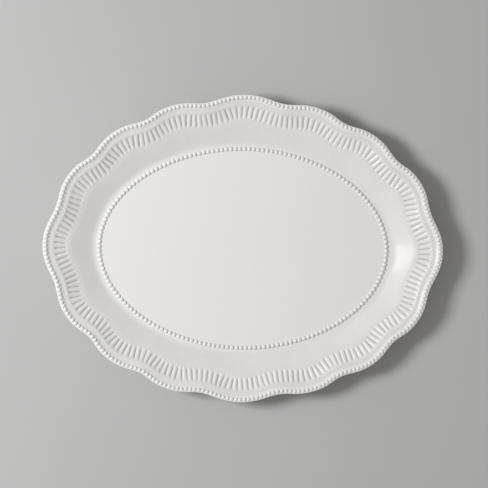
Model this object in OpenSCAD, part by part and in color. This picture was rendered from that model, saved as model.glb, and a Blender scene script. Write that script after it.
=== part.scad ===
// Oval serving platter in glazed stoneware, with a scalloped beaded rim, a band of
// short reeds on the flange, and a second string of beads round the flat well.
// Millimetres, +Z up. The origin is the centre of the foot, on the surface it stands on.
// The length lies along X and the width along Y.

/* [Overall size] */
// Length over the lip, end to end
platter_length = 406; // [380:1:440]
// Width over the lip, side to side
platter_width = 312; // [290:1:340]
// Height of the ledge that carries the rim beads
rim_height = 24.4; // [23:0.1:28]
// Thickness of the wall under the flange
wall = 6; // [5:0.1:7]
// Fullness of the ovals: 2 is a true ellipse, less is more pointed
fullness = 1.96; // [1.9:0.01:2.2]

/* [Scalloped edge] */
// Lobes round the edge
lobes = 16; // [8:4:20]
// How far a lobe stands out from the mean oval, and a notch cuts in
lobe_depth = 2.4; // [0.5:0.1:2.6]
// Extra share of that depth at the two ends and the two sides
axis_gain = 0.12; // [0:0.01:0.15]
// Flattens the lobes and sharpens the notches
notch_bite = 0.32; // [0:0.01:0.4]
// Degrees by which the lobes on the four axes spread towards their neighbours
axis_spread = 2; // [0:0.1:2.5]
// Degrees by which those four lobes are also broadened against the lobes beside them
axis_broaden = 0.68; // [0:0.01:0.8]

/* [Reeded band] */
// Reeds round the platter
reed_count = 192; // [96:4:200]
// Distance from the edge to the outer ends of the reeds
reeds_start = 10.2; // [8:0.1:12]
// Distance from the edge to the inner ends of the reeds
reeds_end = 26; // [20:0.1:26]
// Depth of the grooves between the reeds
groove_depth = 1.1; // [0.2:0.1:1.4]
// Drop of the flange from the bead ledge to the outer ends of the reeds
reeds_drop = 1.6; // [0.5:0.1:2]

/* [Well] */
// Length of the oval line that the well beads follow
well_length = 293; // [270:1:300]
// Width of the oval line that the well beads follow
well_width = 203; // [190:1:215]
// Thickness of the flat floor
floor_thickness = 5.9; // [4:0.1:7]
// Mean slope of the wall, as a rise for each millimetre out from the well
wall_slope = 0.35; // [0.25:0.01:0.4]

/* [Foot] */
// Height of the foot ring
foot_height = 2.6; // [1.5:0.1:4]
// Width of the face that the platter stands on
foot_width = 7; // [4:0.1:12]
// Distance from the well bead line in to the outside of the foot
foot_inset = 4; // [3:0.1:10]

/* [Beads] */
// Beads round the rim
rim_bead_count = 256; // [128:4:256]
// Radius of a rim bead
rim_bead_r = 2.05; // [1.2:0.05:2.05]
// Beads round the well
well_bead_count = 168; // [80:4:168]
// Radius of a well bead
well_bead_r = 2.25; // [1.2:0.05:2.3]

/* [Hidden] */

glaze = [0.9, 0.89, 0.87];
bead_glaze = [0.96, 0.95, 0.93];
bare_clay = [0.78, 0.72, 0.64];

full_turn = 360;
arc_steps = 720;
tangent_step = 0.04;         // step, in lobes, for the direction of the edge
bead_facets = 32;

// How deep a bead's sphere sits in the face below it, and where its line lies
rim_bead_sink = 0.3;
well_bead_sink = 0.4;
rim_bead_inset = rim_bead_r + 0.2;
ledge_half = well_bead_r + 0.1;
rim_ledge_width = 2 * rim_bead_r + 0.5;

// The mean oval is the edge without its lobes
peak_rise = lobe_depth * (1 + 2 * axis_gain) - notch_bite;
oval = [platter_length / 2 - peak_rise, platter_width / 2 - peak_rise];
well_oval = [well_length / 2, well_width / 2];

floor_top = foot_height + floor_thickness;
reeds_top = rim_height - reeds_drop;
reed_middle = (reeds_start + reeds_end) / 2;

// Plan geometry of an oval: a point, its outward normal, and the same point moved outward
function signed_power(x, power) = sign(x) * pow(abs(x), power);
function unit(v) = v / norm(v);
function oval_point(axes, angle) = [
    axes.x * signed_power(cos(angle), 2 / fullness),
    axes.y * signed_power(sin(angle), 2 / fullness)];
function oval_normal(axes, angle) = unit([
    axes.y * signed_power(cos(angle), 2 - 2 / fullness),
    axes.x * signed_power(sin(angle), 2 - 2 / fullness)]);
function oval_offset(axes, angle, out) = oval_point(axes, angle) + out * oval_normal(axes, angle);

// A table that turns a share of a closed line's length into the value that reaches it
function running_sum(list) = [
    for (i = 0, total = 0; i <= len(list); total = total + (i < len(list) ? list[i] : 0), i = i + 1) total];
function length_table(values, points) =
    let (
        sums = running_sum([for (i = [1:arc_steps]) norm(points[i] - points[i - 1])]),
        whole = sums[arc_steps])
    [for (i = [0:arc_steps]) [sums[i] / whole, values[i]]];
function angle_table(axes) = let (angles = [for (i = [0:arc_steps]) full_turn * i / arc_steps])
    length_table(angles, [for (angle = angles) oval_point(axes, angle)]);
edge_table = angle_table(oval);
well_table = angle_table(well_oval);
function angle_at(table, share) = lookup(share - floor(share), table);

// The edge, counted in lobes from the +X end: the lobes ride on the mean oval
function edge_share(phase) = let (turn = full_turn * phase / lobes)
    (turn + axis_spread * sin(4 * turn) + axis_broaden * sin(8 * turn)) / full_turn;
function lobe_gain(share) = 1 + axis_gain * (cos(4 * full_turn * share) + cos(8 * full_turn * share));
function lobe_rise(phase, share) =
    lobe_depth * lobe_gain(share) * cos(full_turn * phase) - notch_bite * cos(2 * full_turn * phase);
function edge_at(phase) = let (share = edge_share(phase))
    oval_offset(oval, angle_at(edge_table, share), lobe_rise(phase, share));
function edge_normal(phase) =
    let (run = edge_at(phase + tangent_step) - edge_at(phase - tangent_step))
    unit([run.y, -run.x]);
function inside_edge(phase, inset) = edge_at(phase) - inset * edge_normal(phase);

// Reeds and rim beads are evenly spaced along the scallops
function phase_table(inset) = let (phases = [for (i = [0:arc_steps]) lobes * i / arc_steps])
    length_table(phases, [for (phase = phases) inside_edge(phase, inset)]);
reed_table = phase_table(reed_middle);
rim_table = phase_table(rim_bead_inset);
function reed_phase(i) = lookup(i / reed_count, reed_table);

// A station is a reed's crest. A groove lies midway between two of them.
function station_point(i, inset) = inside_edge(reed_phase(i), inset);
function groove_point(i, inset) = (station_point(i, inset) + station_point(i + 1, inset)) / 2;
function well_angle(i) = angle_at(edge_table, edge_share(reed_phase(i)));
function well_point(i, out) = oval_offset(well_oval, well_angle(i), out);
function raise(point, z) = [point.x, point.y, z];

// The wall has one slope all round, so its top edge is higher where a scallop stands further out
function wall_run(i) =
    (station_point(i, reeds_end) - well_point(i, ledge_half)) * oval_normal(well_oval, well_angle(i));
function shoulder_at(i) = floor_top + wall_slope * wall_run(i);

// A closed ring swept through one closed section at each station
module swept_ring(sections) {
    count = len(sections);
    size = len(sections[0]);
    polyhedron(
        points = [for (section = sections) each section],
        faces = [for (i = [0:count - 1], j = [0:size - 1]) let (
                a = i * size + j,
                b = i * size + (j + 1) % size,
                c = ((i + 1) % count) * size + (j + 1) % size,
                d = ((i + 1) % count) * size + j)
            each [[a, b, c], [a, c, d]]]);
}

// A bead: the upper part of a sphere, flat where it meets the face below
module bead(r, sink) {
    intersection() {
        translate([0, 0, -sink]) sphere(r, $fn = bead_facets);
        translate([-r, -r, 0]) cube([2 * r, 2 * r, r]);
    }
}

// The flat oval floor, up to the ledge under the well beads
module well_floor() {
    color(glaze)
        translate([0, 0, foot_height])
            linear_extrude(floor_thickness)
                polygon([for (i = [0:reed_count - 1]) well_point(i, -ledge_half)]);
}

// The unglazed oval ring that the platter stands on
module foot_ring() {
    color(bare_clay)
        linear_extrude(foot_height)
            difference() {
                polygon([for (i = [0:reed_count - 1]) well_point(i, -foot_inset)]);
                polygon([for (i = [0:reed_count - 1]) well_point(i, -foot_inset - foot_width)]);
            }
}

// Top of the sloping wall: share of the way in from the reeds, and share of the rise left
cavetto_curve = [[0, 1], [0.15, 0.85], [0.68, 0.21], [0.84, 0.05], [1, 0]];
cavetto_under = [0.62, 0.3];
function cavetto_section(i) =
    let (
        outer = station_point(i, reeds_end),
        toe = well_point(i, ledge_half),
        rise = shoulder_at(i) - floor_top)
    concat(
        [for (p = cavetto_curve) raise(outer + p[0] * (toe - outer), floor_top + p[1] * rise)],
        [
            raise(well_point(i, -ledge_half), floor_top),
            raise(well_point(i, -ledge_half), foot_height),
            raise(well_point(i, ledge_half), foot_height),
            raise(outer + cavetto_under[0] * (toe - outer), foot_height + cavetto_under[1] * rise),
            raise(outer, shoulder_at(i) - wall)
        ]);

// The sloping wall between the well and the reeds, with the ledge under the well beads
module cavetto() {
    color(glaze) swept_ring([for (i = [0:reed_count - 1]) cavetto_section(i)]);
}

// The flange with its ring of short reeds
reed_ramp = 1.4;
ramp_share = reed_ramp / (reeds_end - reeds_start);
function band_section(outer, start, finish, inner, shoulder, depth) =
    let (fall = reeds_top - shoulder)
    [
        raise(outer, reeds_top),
        raise(start, reeds_top - ramp_share * fall - depth),
        raise(finish, shoulder + ramp_share * fall - depth),
        raise(inner, shoulder),
        raise(inner, shoulder - wall),
        raise(outer, reeds_top - wall)
    ];
function crest_section(i) = band_section(
    station_point(i, reeds_start),
    station_point(i, reeds_start + reed_ramp),
    station_point(i, reeds_end - reed_ramp),
    station_point(i, reeds_end),
    shoulder_at(i),
    0);
function groove_section(i) = band_section(
    groove_point(i, reeds_start),
    groove_point(i, reeds_start + reed_ramp),
    groove_point(i, reeds_end - reed_ramp),
    groove_point(i, reeds_end),
    (shoulder_at(i) + shoulder_at(i + 1)) / 2,
    groove_depth);
module reeded_band() {
    color(glaze) swept_ring([for (i = [0:reed_count - 1]) each [crest_section(i), groove_section(i)]]);
}

// The plain outer band, the flat ledge under the rim beads and the rounded edge below it
lip_nose = [[0.2, 0], [0, 0.7], [0.4, 2.8], [2.2, 4.7], [5, 5.5]];
function lip_section(i) = concat(
    [raise(station_point(i, reeds_start), reeds_top), raise(station_point(i, rim_ledge_width), rim_height)],
    [for (p = lip_nose) raise(station_point(i, p[0]), rim_height - p[1])],
    [raise(station_point(i, reeds_start), reeds_top - wall)]);
module rim_lip() {
    color(glaze) swept_ring([for (i = [0:reed_count - 1]) lip_section(i)]);
}

// The string of beads round the scalloped edge
module rim_beading() {
    color(bead_glaze)
        for (k = [0:rim_bead_count - 1]) {
            place = inside_edge(lookup(k / rim_bead_count, rim_table), rim_bead_inset);
            translate([place.x, place.y, rim_height]) bead(rim_bead_r, rim_bead_sink);
        }
}

// The string of beads round the well
module well_beading() {
    color(bead_glaze)
        for (k = [0:well_bead_count - 1]) {
            place = oval_point(well_oval, angle_at(well_table, k / well_bead_count));
            translate([place.x, place.y, floor_top]) bead(well_bead_r, well_bead_sink);
        }
}

well_floor();
foot_ring();
cavetto();
reeded_band();
rim_lip();
rim_beading();
well_beading();
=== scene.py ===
"""Oval stoneware serving platter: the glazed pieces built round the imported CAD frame, in metres."""

import math

import bpy
import numpy as np
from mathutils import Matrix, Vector


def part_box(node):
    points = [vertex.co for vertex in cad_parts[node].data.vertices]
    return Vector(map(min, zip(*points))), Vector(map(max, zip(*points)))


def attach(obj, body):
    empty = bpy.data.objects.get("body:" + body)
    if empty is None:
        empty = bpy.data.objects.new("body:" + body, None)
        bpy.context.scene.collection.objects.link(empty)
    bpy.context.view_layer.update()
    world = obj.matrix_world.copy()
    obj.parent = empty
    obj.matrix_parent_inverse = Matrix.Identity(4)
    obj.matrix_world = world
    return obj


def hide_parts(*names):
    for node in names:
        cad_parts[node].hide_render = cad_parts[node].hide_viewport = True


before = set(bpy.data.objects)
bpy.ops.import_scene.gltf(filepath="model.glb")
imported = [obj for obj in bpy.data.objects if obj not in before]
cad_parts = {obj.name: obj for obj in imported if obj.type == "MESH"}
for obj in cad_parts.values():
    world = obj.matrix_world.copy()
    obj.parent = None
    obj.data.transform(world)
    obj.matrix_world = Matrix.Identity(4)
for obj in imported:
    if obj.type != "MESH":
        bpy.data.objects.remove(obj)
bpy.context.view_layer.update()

MM = 0.001
TURN = 2 * math.pi

# ---------------------------------------------------------------- the design, as in the CAD source
LOBES = 16
REEDS = 192
RIM_BEADS = 256
WELL_BEADS = 168
FULLNESS = 1.96
LOBE_DEPTH = 2.4 * MM
AXIS_GAIN = 0.12
NOTCH_BITE = 0.32 * MM
AXIS_SPREAD = math.radians(2)
AXIS_BROADEN = math.radians(0.68)
REEDS_START = 10.2 * MM
REEDS_END = 26 * MM
REED_MIDDLE = (REEDS_START + REEDS_END) / 2
RIM_BEAD_INSET = 2.25 * MM
WELL_LEDGE_HALF = 2.35 * MM
WALL_SLOPE = 0.35
FOOT_INSET = 4 * MM
FOOT_WIDTH = 7 * MM
PEAK_RISE = LOBE_DEPTH * (1 + 2 * AXIS_GAIN) - NOTCH_BITE

# Heights and half sizes, read from the frame
lip_low, lip_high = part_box("rim_lip")
band_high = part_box("reeded_band")[1]
floor_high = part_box("well_floor")[1]
foot_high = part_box("foot_ring")[1]
bead_low, bead_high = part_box("rim_beading")
well_bead_low, well_bead_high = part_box("well_beading")

RIM_Z = lip_high.z
REEDS_Z = band_high.z
FLOOR_Z = floor_high.z
FOOT_Z = foot_high.z
BAND_UNDER_Z = lip_low.z
WALL = REEDS_Z - BAND_UNDER_Z
BEAD_HEIGHT = bead_high.z - bead_low.z
WELL_BEAD_HEIGHT = well_bead_high.z - well_bead_low.z
OVAL = np.array([lip_high.x - PEAK_RISE, lip_high.y - PEAK_RISE])
WELL_OVAL = np.array([floor_high.x + WELL_LEDGE_HALF, floor_high.y + WELL_LEDGE_HALF])


# ---------------------------------------------------------------- plan geometry
def signed_power(x, power):
    return np.sign(x) * np.abs(x) ** power


def oval_point(axes, angle):
    power = 2 / FULLNESS
    return np.stack([
        axes[0] * signed_power(np.cos(angle), power),
        axes[1] * signed_power(np.sin(angle), power)], -1)


def oval_normal(axes, angle):
    power = 2 - 2 / FULLNESS
    normal = np.stack([
        axes[1] * signed_power(np.cos(angle), power),
        axes[0] * signed_power(np.sin(angle), power)], -1)
    return normal / np.linalg.norm(normal, axis=-1, keepdims=True)


def length_table(values, points):
    """Shares of a closed line's length, beside the values that reach them."""
    sums = np.concatenate([[0], np.cumsum(np.linalg.norm(np.diff(points, axis=0), axis=1))])
    return sums / sums[-1], values


TABLE_STEPS = 2880
TABLE_ANGLES = np.linspace(0, TURN, TABLE_STEPS + 1)
EDGE_TABLE = length_table(TABLE_ANGLES, oval_point(OVAL, TABLE_ANGLES))
WELL_TABLE = length_table(TABLE_ANGLES, oval_point(WELL_OVAL, TABLE_ANGLES))


def angle_at(table, share):
    return np.interp(share - np.floor(share), *table)


def edge_share(phase):
    turn = TURN * phase / LOBES
    return (turn + AXIS_SPREAD * np.sin(4 * turn) + AXIS_BROADEN * np.sin(8 * turn)) / TURN


def edge_at(phase):
    """The scalloped edge, counted in lobes from the +X end."""
    share = edge_share(phase)
    gain = 1 + AXIS_GAIN * (np.cos(4 * TURN * share) + np.cos(8 * TURN * share))
    rise = LOBE_DEPTH * gain * np.cos(TURN * phase) - NOTCH_BITE * np.cos(2 * TURN * phase)
    angle = angle_at(EDGE_TABLE, share)
    return oval_point(OVAL, angle) + rise[..., None] * oval_normal(OVAL, angle)


def edge_normal(phase, step=0.04):
    run = edge_at(phase + step) - edge_at(phase - step)
    normal = np.stack([run[..., 1], -run[..., 0]], -1)
    return normal / np.linalg.norm(normal, axis=-1, keepdims=True)


def inside_edge(phase, inset):
    return edge_at(phase) - inset[..., None] * edge_normal(phase)


def phase_table(inset):
    phases = np.linspace(0, LOBES, TABLE_STEPS + 1)
    return length_table(phases, inside_edge(phases, np.full(len(phases), inset)))


REED_TABLE = phase_table(REED_MIDDLE)
RIM_TABLE = phase_table(RIM_BEAD_INSET)


def phase_at(table, share):
    return np.interp(share - np.floor(share), *table) + LOBES * np.floor(share)


def beside_reeds(reed, inset):
    """Points at each inset from the edge, one row to an inset and one column to a reed number."""
    reed, inset = np.broadcast_arrays(np.atleast_2d(reed), np.reshape(inset, (-1, 1)))
    return inside_edge(phase_at(REED_TABLE, reed / REEDS), inset)


def well_angle(reed):
    return angle_at(EDGE_TABLE, edge_share(phase_at(REED_TABLE, reed / REEDS)))


def beside_well(reed, out):
    """Points at each distance out from the line of the well beads, beside the same reed numbers."""
    angle = well_angle(reed)
    out = np.reshape(out, (-1, 1, 1))
    return oval_point(WELL_OVAL, angle)[None] + out * oval_normal(WELL_OVAL, angle)[None]


def shoulder_at(reed):
    """Height of the wall's top edge: one slope all round, so higher where a scallop stands further out."""
    run = beside_reeds(reed, [REEDS_END])[0] - beside_well(reed, [WELL_LEDGE_HALF])[0]
    return FLOOR_Z + WALL_SLOPE * (run * oval_normal(WELL_OVAL, well_angle(reed))).sum(-1)


def smooth(x):
    x = np.clip(x, 0, 1)
    return x * x * (3 - 2 * x)


def curve_through(points, per_span):
    """A Catmull-Rom curve through a list of points."""
    p = np.array(points, float)
    p = np.vstack([2 * p[0] - p[1], p, 2 * p[-1] - p[-2]])
    out = []
    for i in range(1, len(p) - 2):
        for t in np.arange(per_span) / per_span:
            a, b, c, d = p[i - 1], p[i], p[i + 1], p[i + 2]
            out.append(0.5 * (2 * b + (c - a) * t + (2 * a - 5 * b + 4 * c - d) * t ** 2
                              + (3 * b - a - 3 * c + d) * t ** 3))
    out.append(p[-2])
    return np.array(out)


# ---------------------------------------------------------------- meshes
def finish_piece(name, points, faces, wash_and_shade, material, sharp=35):
    mesh = bpy.data.meshes.new(name)
    mesh.from_pydata(points.tolist(), [], faces)
    mesh.polygons.foreach_set("use_smooth", [True] * len(mesh.polygons))
    mesh.set_sharp_from_angle(angle=math.radians(sharp))
    # The attribute holds painted shade for the glaze, and the wash pooled in the grooves
    attribute = mesh.attributes.new("wash_and_shade", "FLOAT", "POINT")
    attribute.data.foreach_set("value", np.asarray(wash_and_shade, np.float32).ravel())
    mesh.materials.append(material)
    mesh.update()
    piece = bpy.data.objects.new(name, mesh)
    bpy.context.scene.collection.objects.link(piece)
    return piece


def quads(rows, columns, closed_rows):
    """Faces of a grid of points that closes on itself along its columns, and along its rows if asked."""
    faces = []
    for i in range(rows if closed_rows else rows - 1):
        for j in range(columns):
            a, b = i * columns + j, i * columns + (j + 1) % columns
            c, d = ((i + 1) % rows) * columns + (j + 1) % columns, ((i + 1) % rows) * columns + j
            faces.append((a, b, c, d))
    return faces


def section_area(plan, height):
    """Signed area of a ring's first section: positive if it runs anticlockwise with the rim on the right."""
    across, up = np.linalg.norm(plan[:, 0], axis=-1), height[:, 0]
    return 0.5 * (across * np.roll(up, -1) - np.roll(across, -1) * up).sum()


def ring_piece(name, plan, height, wash_and_shade, material):
    """A ring whose section is closed, with its faces outward whichever way round the section runs.

    plan is (rows, columns, 2); height and the painted shade with its pooled wash are (rows, columns)."""
    points = np.concatenate([plan, height[..., None]], -1)
    rows, columns = points.shape[:2]
    faces = quads(rows, columns, True)
    if section_area(plan, height) < 0:
        faces = [face[::-1] for face in faces]
    return finish_piece(name, points.reshape(-1, 3), faces, wash_and_shade, material)


def columns_of(per_reed):
    return np.arange(REEDS * per_reed) / per_reed


def spread(values, columns):
    return np.repeat(np.asarray(values, float)[:, None], columns, 1)


LIP_LIFT = 0.62 * MM         # how far the edge stands up outside the rim beads
PLAIN_BAND_SHADE = 0.23            # painted shade on the plain band
RIM_LEDGE_SHADE = 0.3            # painted shade on the ledge under the rim beads, seen in the gaps between them


def make_lip(material):
    """The plain band outside the reeds, the ledge under the rim beads and the raised, rounded edge."""
    drop = RIM_Z - REEDS_Z
    band = curve_through([
        (REEDS_START, REEDS_Z), (9 * MM, REEDS_Z + 0.11 * drop), (7.8 * MM, REEDS_Z + 0.225 * drop),
        (6.8 * MM, REEDS_Z + 0.37 * drop), (6 * MM, REEDS_Z + 0.57 * drop),
        (5.3 * MM, REEDS_Z + 0.8 * drop), (4.7 * MM, REEDS_Z + 0.94 * drop), (4.1 * MM, RIM_Z)], 3)
    ledge = curve_through([
        (3.5 * MM, RIM_Z), (2.9 * MM, RIM_Z + 0.05 * MM), (2 * MM, RIM_Z + 0.35 * MM),
        (1.2 * MM, RIM_Z + LIP_LIFT)], 3)
    nose = curve_through([
        (0.7 * MM, RIM_Z + LIP_LIFT), (0.3 * MM, RIM_Z + 0.48 * MM), (0.07 * MM, RIM_Z + 0.15 * MM),
        (0, RIM_Z - 0.4 * MM), (0.03 * MM, RIM_Z - 1.3 * MM),
        (0.3 * MM, RIM_Z - 2.6 * MM), (1.2 * MM, RIM_Z - 3.9 * MM), (3.0 * MM, RIM_Z - 4.9 * MM),
        (6.0 * MM, RIM_Z - 5.9 * MM), (REEDS_START, BAND_UNDER_Z)], 5)
    section = np.vstack([band, ledge, nose])
    inset, height = section.T
    on_top = height > REEDS_Z - 0.1 * MM
    # Painted shade: the plain band darker than the flange, and the ledge dark where it shows between the rim
    # beads
    plain_shade = PLAIN_BAND_SHADE * smooth((inset - 5.2 * MM) / (2 * MM)) * on_top
    shaded_ledge = smooth((inset - 1.4 * MM) / MM) * (1 - smooth((inset - 4.4 * MM) / MM)) * on_top
    reed = columns_of(6)
    return ring_piece("rim_lip_glazed", beside_reeds(reed, inset), spread(height, len(reed)),
                      spread(plain_shade + RIM_LEDGE_SHADE * shaded_ledge, len(reed)), material)


REED_RECESS = 0.08 * MM      # how far the crests lie below the plain flange
GROOVE_FLOOR = 1.15 * MM     # and how far the grooves do, on average
OUTER_FADE = 4.2 * MM        # length over which the grooves deepen from the reeds' outer ends
INNER_FADE = 4.4 * MM        # and from their inner ends
REED_LEAN = 0.36             # the most, in reeds, that a hand-finished reed leans over its whole length
WANDER_LIMIT = 1.6           # the most that slow_wander reaches either way
DEPTH_WANDER = 0.1           # share of a groove's depth that one unit of wander adds
GROOVE_SHADE_AND_WASH = 0.8            # painted shade at the bottom of a groove, with a brown-grey wash pooled there
BAND_SHADE_FADE = 0.15         # how much the plain band's painted shade fades over the outer ends of the reeds
BAND_SHADE_RETURN = 0.12        # and how much of it comes back at their inner ends


def slow_wander(seed, count, tightness):
    """A smooth random curve of about unit size round the ring, one value to a column."""
    rng = np.random.default_rng(seed)
    turn = np.arange(count) / count * TURN
    waves = np.arange(1, tightness + 1)
    size = rng.normal(size=len(waves)) / math.sqrt(len(waves) / 2)
    start = rng.uniform(0, TURN, len(waves))
    wander = (size[:, None] * np.cos(waves[:, None] * turn + start[:, None])).sum(0)
    return WANDER_LIMIT * np.tanh(wander / WANDER_LIMIT)


def make_band(material):
    """The ring of short reeds, rounded across and at their ends."""
    reed = columns_of(12)
    # Rows of points, closer together near both ends of the reeds
    inset = np.concatenate([
        REEDS_END - np.linspace(0, 5.4, 12) * MM,
        np.linspace(19.8, 14.6, 6) * MM,
        np.linspace(14, 10.2, 13) * MM])
    from_edge = inset[:, None]
    lean = REED_LEAN / WANDER_LIMIT * slow_wander(seed=3, count=len(reed), tightness=40)
    depth = 1 + DEPTH_WANDER * slow_wander(seed=5, count=len(reed), tightness=90)
    off_crest = np.abs(reed - np.round(reed))[None] * 2      # 0 on a crest and 1 in a groove
    rounded = off_crest ** 1.8
    shoulder = shoulder_at(reed)
    base = REEDS_Z - (REEDS_Z - shoulder)[None] * (from_edge - REEDS_START) / (REEDS_END - REEDS_START)
    outer_fade = smooth((from_edge - REEDS_START) / OUTER_FADE)
    inner_fade = smooth((REEDS_END - 0.2 * MM - from_edge) / INNER_FADE)
    height = base - outer_fade * inner_fade * (REED_RECESS + (GROOVE_FLOOR - REED_RECESS) * rounded * depth)
    # Painted shade down the grooves, with the pooled wash, and the plain band's painted shade carried over
    # the reeds
    groove_shade_along = smooth((from_edge - 10.3 * MM) / (2 * MM))
    groove_shade_along = groove_shade_along * smooth((REEDS_END - 0.6 * MM - from_edge) / (3 * MM))
    band_shade = (PLAIN_BAND_SHADE - BAND_SHADE_FADE * smooth((from_edge - REEDS_START) / (3 * MM))
            + BAND_SHADE_RETURN * smooth((from_edge - 22.5 * MM) / (3 * MM)))
    wash_and_shade = np.maximum(GROOVE_SHADE_AND_WASH * groove_shade_along * np.clip((rounded * depth - 0.2) / 0.8, 0, 1), band_shade)
    under_inset = [REEDS_START, REED_MIDDLE, REEDS_END]
    under_height = [np.full(len(reed), BAND_UNDER_Z), (REEDS_Z + shoulder) / 2 - WALL, shoulder - WALL]
    leaning = reed[None] + lean * (from_edge - REED_MIDDLE) / (REEDS_END - REEDS_START)
    plan = np.concatenate([beside_reeds(leaning, inset), beside_reeds(reed, under_inset)])
    height = np.concatenate([height, under_height])
    wash_and_shade = np.concatenate([wash_and_shade, np.zeros((len(under_inset), len(reed)))])
    return ring_piece("reeded_band_glazed", plan, height, wash_and_shade, material)


TOP_SLOPE = 0.7              # slope at the top of the wall, as a share of its steepest
TOP_END = 0.15               # share of the way in where the steepest slope is reached
TOE_SLOPE = 0.1              # slope at the toe, as a share of the steepest
TOE_START = 0.69             # share of the way in where the toe starts to ease out
WALL_SHADE = 0.17             # painted shade on the wall, darker than the floor
TOE_SHADE_FADE = 0.12          # how much the wall's painted shade fades over the last fifth of the way in
TOE_SHADE = 0.06              # painted shade along the toe
WELL_LEDGE_SHADE = 0.25            # painted shade on the ledge under the well beads, seen in the gaps between them


def cavetto_fall(share):
    """Share of the fall from the reeds to the well, at a share of the way in.

    It starts a little less steep, runs on at a long even slope and eases out at the toe."""
    steps = np.linspace(0, 1, 401)
    top = TOP_SLOPE + (1 - TOP_SLOPE) * smooth(steps / TOP_END)
    toe = TOE_SLOPE + (1 - TOE_SLOPE) * (1 - smooth((steps - TOE_START) / (1 - TOE_START)))
    slope = top * toe
    fall = np.concatenate([[0], np.cumsum((slope[1:] + slope[:-1]) / 2)])
    return np.interp(share, steps, fall / fall[-1])


def make_cavetto(material):
    """The sloping wall between the reeds and the well, and the ledge under the well beads."""
    reed = columns_of(4)
    outer = beside_reeds(reed, [REEDS_END])[0]
    toe = beside_well(reed, [WELL_LEDGE_HALF])[0]
    way_in = np.linspace(0, 1, 33)[:, None, None]
    slope_plan = outer[None] + way_in * (toe - outer)[None]
    shoulder = shoulder_at(reed)[None]
    slope_height = shoulder + (FLOOR_Z - shoulder) * cavetto_fall(way_in[:, :, 0])
    ledge_out = np.array([1.4, 0.5, -0.5, -1.4]) * MM
    ledge_plan = beside_well(reed, ledge_out)
    heel = beside_well(reed, [-WELL_LEDGE_HALF])
    way_out = np.linspace(0, 1, 15)[:, None, None]
    under_plan = toe[None] + way_out * (outer - toe)[None]
    under_height = FOOT_Z + (shoulder - WALL - FOOT_Z) * (1 - cavetto_fall(1 - way_out[:, :, 0]))
    plan = np.concatenate([slope_plan, ledge_plan, heel, heel, under_plan])
    level = [FLOOR_Z] * (len(ledge_out) + 1) + [FOOT_Z]
    height = np.concatenate([slope_height, spread(level, len(reed)), under_height])
    # Painted shade: the wall darker than the floor, lighter at the toe, and the ledge dark between the beads
    slope_shade = WALL_SHADE - TOE_SHADE_FADE * smooth((way_in[:, 0, 0] - 0.8) / 0.2)
    slope_shade[-1] = TOE_SHADE
    wash_and_shade = np.concatenate([slope_shade, [WELL_LEDGE_SHADE] * len(ledge_out), np.zeros(2 + len(way_out))])
    return ring_piece("cavetto_glazed", plan, height, spread(wash_and_shade, len(reed)), material)


FLOOR_SAG = 0.12 * MM        # how far the middle of the well lies below its rim


def make_floor(material):
    """The flat floor of the well. It sags by a hair towards the middle, as a fired slab does."""
    reed = columns_of(4)
    rim = beside_well(reed, [-WELL_LEDGE_HALF])[0]
    shares = np.concatenate([[1, 0.992, 0.984, 0.976], np.linspace(0.95, 0.05, 19)])
    sag = FLOOR_SAG * smooth((0.95 - shares) / 0.9)
    top = np.concatenate([shares[:, None, None] * rim[None], np.broadcast_to(
        (FLOOR_Z - sag)[:, None, None], (len(shares), len(reed), 1))], -1)
    low_shares = shares[::-1]
    low = np.concatenate([
        low_shares[:, None, None] * rim[None],
        np.full((len(shares), len(reed), 1), FOOT_Z)], -1)
    columns = len(reed)
    top_count = len(shares) * columns
    centres = [[0, 0, FLOOR_Z - sag[-1]], [0, 0, FOOT_Z]]
    points = np.concatenate([top.reshape(-1, 3), low.reshape(-1, 3), centres])
    top_faces = quads(len(shares), columns, False)
    low_faces = [tuple(v + top_count for v in f) for f in top_faces]
    side = [(2 * top_count - columns + j, 2 * top_count - columns + (j + 1) % columns, (j + 1) % columns, j)
            for j in range(columns)]
    centre_top, centre_low = 2 * top_count, 2 * top_count + 1
    last = top_count - columns
    fans = [(last + j, last + (j + 1) % columns, centre_top) for j in range(columns)]
    fans += [(top_count + (j + 1) % columns, top_count + j, centre_low) for j in range(columns)]
    return finish_piece("well_floor_glazed", points, top_faces + low_faces + side + fans,
                        np.zeros(len(points)), material)


def make_foot(material):
    """The bare foot ring, with rounded edges where the glaze was wiped back."""
    reed = columns_of(3)
    width, depth = FOOT_WIDTH, FOOT_Z
    section = np.array([
        (0, 1), (0, 0.3), (0.03, 0.12), (0.09, 0.02), (0.16, 0), (0.5, 0), (0.84, 0), (0.91, 0.02),
        (0.97, 0.12), (1, 0.3), (1, 1)])
    plan = beside_well(reed, -FOOT_INSET - section[:, 0] * width)
    height = spread(section[:, 1] * depth, len(reed))
    return ring_piece("foot_ring_bare", plan, height, np.zeros_like(height), material)


# ---------------------------------------------------------------- beads
RIM_BEAD_SHIFT = 0.65 * MM   # how far inside the frame's line the rim beads stand
RIM_BEAD_SINK = 0.3 * MM     # how far the rim beads are sunk into their ledge
WELL_BEAD_SINK = 0.15 * MM   # and the well beads into theirs
SMALLER, LARGER = -0.035, 0.02       # how far the size of a bead strays, as a share of it


def bead_template(rings=7, sides=16):
    """The points and faces of a dome of unit size, closed below."""
    lift = np.linspace(0, math.pi / 2, rings + 1)[:-1]
    turn = np.arange(sides) / sides * TURN
    points = [(math.cos(e) * math.cos(a), math.cos(e) * math.sin(a), math.sin(e)) for e in lift for a in turn]
    points += [(0, 0, 1), (0, 0, 0)]
    faces = quads(rings, sides, False)
    crown, base = rings * sides, rings * sides + 1
    faces += [((rings - 1) * sides + j, (rings - 1) * sides + (j + 1) % sides, crown) for j in range(sides)]
    faces += [((j + 1) % sides, j, base) for j in range(sides)]
    return np.array(points), faces


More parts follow.
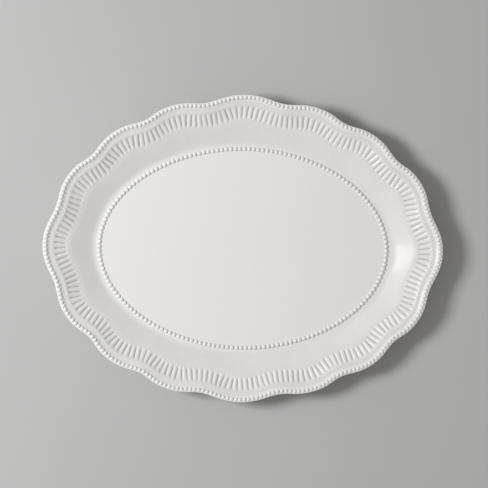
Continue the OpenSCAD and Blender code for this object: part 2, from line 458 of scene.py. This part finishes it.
def make_beads(name, centres, outward, base_z, sizes, seed, material):
    """Domes of sizes (out, in, along, up) at each centre, each a little different, as pressed clay is."""
    rng = np.random.default_rng(seed)
    shape, faces = bead_template()
    points, all_faces, wash_and_shade = [], [], []
    for k, (centre, out) in enumerate(zip(centres, outward)):
        vary = 1 + rng.uniform(SMALLER, LARGER, 3)
        along = np.array([-out[1], out[0]])
        across = np.where(shape[:, 0] > 0, sizes[0], sizes[1])
        x, y, z = shape.T * vary[:, None]
        x, y, z = x * across, y * sizes[2], z * sizes[3]
        place = centre + x[:, None] * out + y[:, None] * along
        points.append(np.column_stack([place, base_z + z]))
        all_faces += [tuple(v + k * len(shape) for v in f) for f in faces]
        # Painted shade low on each bead and where it meets its neighbours
        low = 1 - smooth(shape[:, 2] / 0.9)
        wash_and_shade.append(low * smooth((np.abs(shape[:, 1]) - 0.45) / 0.45))
    return finish_piece(name, np.concatenate(points), all_faces, np.concatenate(wash_and_shade), material, sharp=60)


def make_rim_beads(material):
    phase = phase_at(RIM_TABLE, np.arange(RIM_BEADS) / RIM_BEADS)
    centres = inside_edge(phase, np.full(RIM_BEADS, RIM_BEAD_INSET + RIM_BEAD_SHIFT))
    sizes = (2.7 * MM, 2.1 * MM, 2.36 * MM, BEAD_HEIGHT + 0.05 * MM)
    return make_beads("rim_beading_glazed", centres, edge_normal(phase), RIM_Z - RIM_BEAD_SINK,
                      sizes, 7, material)


def make_well_beads(material):
    angle = angle_at(WELL_TABLE, np.arange(WELL_BEADS) / WELL_BEADS)
    centres, outward = oval_point(WELL_OVAL, angle), oval_normal(WELL_OVAL, angle)
    sizes = (2.3 * MM, 2.3 * MM, 2.46 * MM, WELL_BEAD_HEIGHT - 0.1 * MM)
    return make_beads("well_beading_glazed", centres, outward, FLOOR_Z - WELL_BEAD_SINK, sizes, 11, material)


# ---------------------------------------------------------------- materials
def node_maker(material):
    material.use_nodes = True
    tree = material.node_tree
    shader = tree.nodes["Principled BSDF"]

    def add(kind, inputs=None, **settings):
        node = tree.nodes.new(kind)
        for key, value in settings.items():
            setattr(node, key, value)
        for key, value in (inputs or {}).items():
            if isinstance(value, bpy.types.NodeSocket):
                tree.links.new(value, node.inputs[key])
            else:
                node.inputs[key].default_value = value
        return node

    return tree, shader, add


def noise(add, place, scale, detail, roughness):
    inputs = {"Vector": place, "Scale": scale, "Detail": detail, "Roughness": roughness}
    return add("ShaderNodeTexNoise", inputs).outputs["Fac"]


def map_range(add, value, source, target):
    """Carries a value over from the source range to the target range."""
    inputs = {0: value, 1: source[0], 2: source[1], 3: target[0], 4: target[1]}
    return add("ShaderNodeMapRange", inputs).outputs[0]


def mix_colour(add, factor, first, second):
    node = add("ShaderNodeMix", data_type="RGBA")
    tree = node.id_data
    for socket, value in ((0, factor), (6, first), (7, second)):
        if isinstance(value, bpy.types.NodeSocket):
            tree.links.new(value, node.inputs[socket])
        else:
            node.inputs[socket].default_value = value
    return node.outputs[2]


def glaze_material(name, pale, deep, wash_and_shade_colour, wash_and_shade_strength):
    """Off-white glaze, cloudy in thickness, darkened towards a brown-grey where the mesh attribute paints
    shade, and where a wash pools in the grooves.
    """
    material = bpy.data.materials.new(name)
    tree, shader, add = node_maker(material)
    place = add("ShaderNodeTexCoord").outputs["Object"]
    cloud = noise(add, place, scale=14, detail=4, roughness=0.55)
    body = mix_colour(add, cloud, deep, pale)
    # The attribute darkens the glaze: painted shade in hollows, slopes and between parts, and a wash pooled
    # in the grooves
    wash_and_shade = add("ShaderNodeAttribute", attribute_name="wash_and_shade").outputs["Fac"]
    broken = noise(add, place, scale=160, detail=3, roughness=0.6)
    thinnest = 0.62 * wash_and_shade_strength
    share = map_range(add, broken, (0.3, 0.75), (thinnest, wash_and_shade_strength))
    amount = add("ShaderNodeMath", {0: wash_and_shade, 1: share}, operation="MULTIPLY").outputs[0]
    colour = mix_colour(add, amount, body, wash_and_shade_colour)
    tree.links.new(colour, shader.inputs["Base Color"])
    rough = map_range(add, broken, (0.3, 0.7), (0.3, 0.38))
    tree.links.new(rough, shader.inputs["Roughness"])
    ripple = noise(add, place, scale=70, detail=2, roughness=0.5)
    bump = add("ShaderNodeBump", {"Strength": 0.12, "Distance": 0.0006, "Height": ripple})
    tree.links.new(bump.outputs[0], shader.inputs["Normal"])
    shader.inputs["IOR"].default_value = 1.5
    shader.inputs["Specular IOR Level"].default_value = 0.15
    shader.inputs["Coat Weight"].default_value = 0.12
    shader.inputs["Coat Roughness"].default_value = 0.1
    shader.inputs["Subsurface Weight"].default_value = 0.06
    shader.inputs["Subsurface Radius"].default_value = (0.0016, 0.0014, 0.0011)
    shader.inputs["Subsurface Scale"].default_value = 1.0
    return material


def bare_clay_material():
    """Matt fired clay, buff and finely speckled, where the foot is left unglazed."""
    material = bpy.data.materials.new("bare_clay")
    tree, shader, add = node_maker(material)
    place = add("ShaderNodeTexCoord").outputs["Object"]
    mottle = noise(add, place, scale=45, detail=5, roughness=0.6)
    clay = mix_colour(add, mottle, (0.5, 0.42, 0.33, 1), (0.68, 0.6, 0.49, 1))
    grain = noise(add, place, scale=900, detail=2, roughness=0.7)
    speck = map_range(add, grain, (0.62, 0.72), (0, 0.5))
    tree.links.new(mix_colour(add, speck, clay, (0.16, 0.11, 0.07, 1)), shader.inputs["Base Color"])
    bump = add("ShaderNodeBump", {"Strength": 0.35, "Distance": 0.0003, "Height": grain})
    tree.links.new(bump.outputs[0], shader.inputs["Normal"])
    shader.inputs["Roughness"].default_value = 0.85
    return material


def floor_material():
    material = bpy.data.materials.new("studio_floor")
    tree, shader, add = node_maker(material)
    place = add("ShaderNodeTexCoord").outputs["Object"]
    tone = noise(add, place, scale=6, detail=3, roughness=0.5)
    colour = mix_colour(add, tone, (0.51, 0.51, 0.51, 1), (0.55, 0.55, 0.55, 1))
    tree.links.new(colour, shader.inputs["Base Color"])
    shader.inputs["Roughness"].default_value = 0.9
    return material


# Brown-grey for the painted shade, and for the wash pooled in the grooves
WASH_AND_SHADE_COLOUR = (0.18, 0.145, 0.115, 1)
WASH_AND_SHADE_STRENGTH = 0.6
glaze = glaze_material("glaze", (0.87, 0.865, 0.854, 1), (0.845, 0.839, 0.826, 1), WASH_AND_SHADE_COLOUR, WASH_AND_SHADE_STRENGTH)
bead_glaze = glaze_material(
    "bead_glaze", (0.87, 0.864, 0.85, 1), (0.84, 0.833, 0.815, 1), WASH_AND_SHADE_COLOUR, WASH_AND_SHADE_STRENGTH)
bare_clay = bare_clay_material()

PIECES = (
    (make_floor(glaze), "well_floor", "glaze"),
    (make_cavetto(glaze), "cavetto", "glaze"),
    (make_band(glaze), "reeded_band", "glaze"),
    (make_lip(glaze), "rim_lip", "glaze"),
    (make_rim_beads(bead_glaze), "rim_beading", "bead_glaze"),
    (make_well_beads(bead_glaze), "well_beading", "bead_glaze"),
    (make_foot(bare_clay), "foot_ring", "bare_clay"),
)
for piece, node, slot in PIECES:
    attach(piece, "root")
    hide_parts(node)


# ---------------------------------------------------------------- floor, light and camera
def add_object(name, data, place=(0, 0, 0)):
    thing = bpy.data.objects.new(name, data)
    thing.location = place
    bpy.context.scene.collection.objects.link(thing)
    return thing


def make_studio_floor():
    """A plain floor, a hair below the foot so that the two faces don't lie in one plane."""
    half = 6
    mesh = bpy.data.meshes.new("studio_floor")
    corners = [(-half, -half, 0), (half, -half, 0), (half, half, 0), (-half, half, 0)]
    mesh.from_pydata(corners, [], [(0, 1, 2, 3)])
    mesh.materials.append(floor_material())
    add_object("studio_floor", mesh, (0, 0, -0.05 * MM))


def area_light(name, azimuth, elevation, distance, size, power):
    """A square soft box that faces the platter."""
    a, e = math.radians(azimuth), math.radians(elevation)
    place = Vector((math.cos(a) * math.cos(e), math.sin(a) * math.cos(e), math.sin(e))) * distance
    lamp = bpy.data.lights.new(name, "AREA")
    lamp.shape = "SQUARE"
    lamp.size = size
    lamp.energy = power
    light = add_object(name, lamp, place)
    light.rotation_euler = (-place).to_track_quat("-Z", "Y").to_euler()


def make_world(strength):
    world = bpy.data.worlds.new("studio")
    bpy.context.scene.world = world
    world.use_nodes = True
    background = world.node_tree.nodes["Background"]
    background.inputs[0].default_value = (1, 0.986, 0.97, 1)
    background.inputs[1].default_value = strength


def make_camera():
    """Straight down, turned a degree, with the platter a little left of and below the middle."""
    across, distance = 0.4947, 2.4     # width of the view at the rim, and height above it
    aim_x, aim_y, turn = 0.00114, 0.00456, math.radians(1.03)
    camera = bpy.data.cameras.new("camera")
    camera.sensor_width = 36
    camera.lens = camera.sensor_width * distance / across
    camera.clip_end = 20
    eye = add_object("camera", camera, (aim_x, aim_y, RIM_Z + distance))
    eye.rotation_euler = (0, 0, turn)
    bpy.context.scene.camera = eye


make_studio_floor()
make_world(strength=0.345)
area_light("key", azimuth=173, elevation=45, distance=1.8, size=0.53, power=24)
make_camera()
bpy.context.scene.view_settings.view_transform = "Standard"
